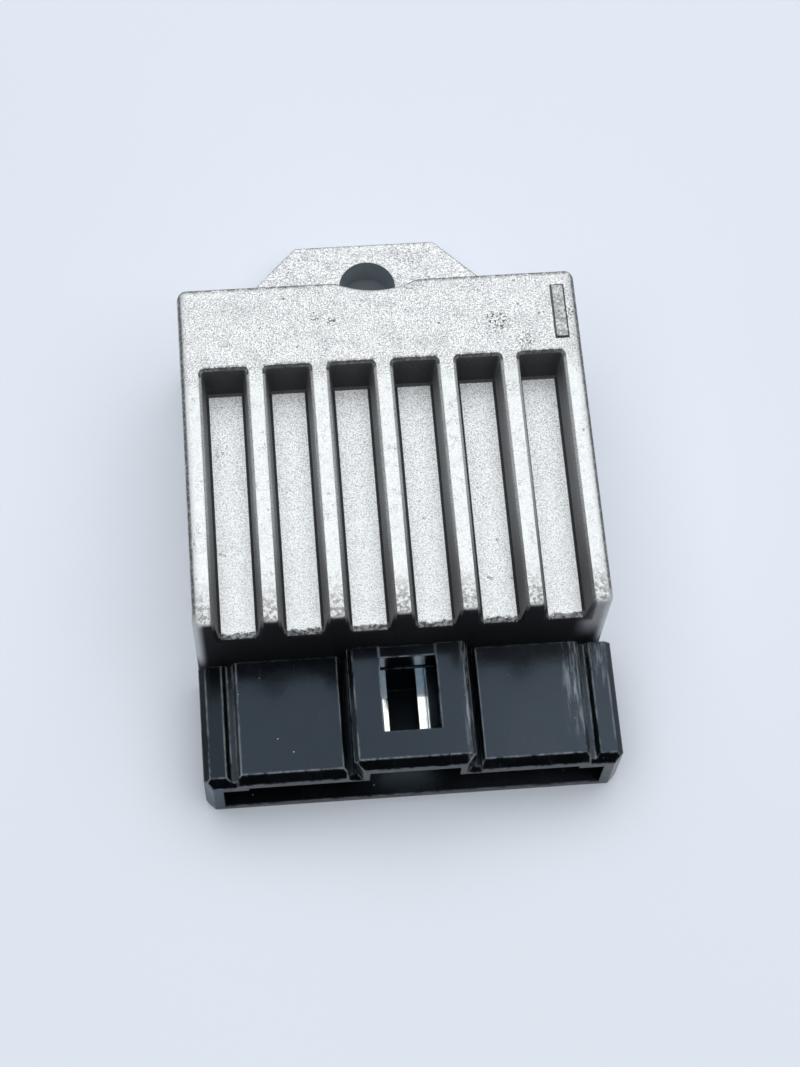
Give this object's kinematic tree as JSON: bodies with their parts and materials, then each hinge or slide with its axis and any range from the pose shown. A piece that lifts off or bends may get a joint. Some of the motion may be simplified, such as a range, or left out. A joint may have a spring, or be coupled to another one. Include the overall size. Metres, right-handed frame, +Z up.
{
  "type": "voltage regulator rectifier",
  "caption": "Finned die-cast heat sink with a mounting tab, potted electronics and a black plug-in socket holding flat tinned terminals at the front.",
  "frame": {"origin": "centre of the mounting hole on the base plane", "axes": "+X across the fins to the right, +Y along the fins towards the mounting tab, +Z up through the fins"},
  "size_m": [0.051, 0.0762, 0.0233],
  "materials": {
    "cast_aluminium": "as cast, blasted grain",
    "black_moulding": "semi-gloss moulded, lightly rubbed",
    "tinned_brass": "bright tin plate",
    "board_laminate": "solder resist over glass laminate",
    "component_black": "moulded epoxy",
    "resistor_lacquer": "lacquer",
    "thermal_rubber": "filled silicone sheet",
    "capacitor_sleeve": "shrunk sleeve",
    "potting_resin": "cast resin, smooth"
  },
  "bodies": {
    "root": {"heat_sink_housing": "cast_aluminium", "connector_shroud": "black_moulding", "terminal_charge_coil": "tinned_brass", "terminal_lighting_coil": "tinned_brass", "terminal_battery": "tinned_brass", "terminal_ground": "tinned_brass", "circuit_board": "board_laminate", "thyristor_charge": "component_black", "thyristor_lighting": "component_black", "gate_diode_charge": "component_black", "gate_diode_lighting": "component_black", "voltage_zener": "component_black", "rectifier_diode": "component_black", "sense_transistor": "component_black", "gate_resistor_charge": "resistor_lacquer", "gate_resistor_lighting": "resistor_lacquer", "sense_resistor": "resistor_lacquer", "thermal_pad_charge": "thermal_rubber", "thermal_pad_lighting": "thermal_rubber", "smoothing_capacitor": "capacitor_sleeve", "potting_compound": "potting_resin"}
  },
  "joints": []
}
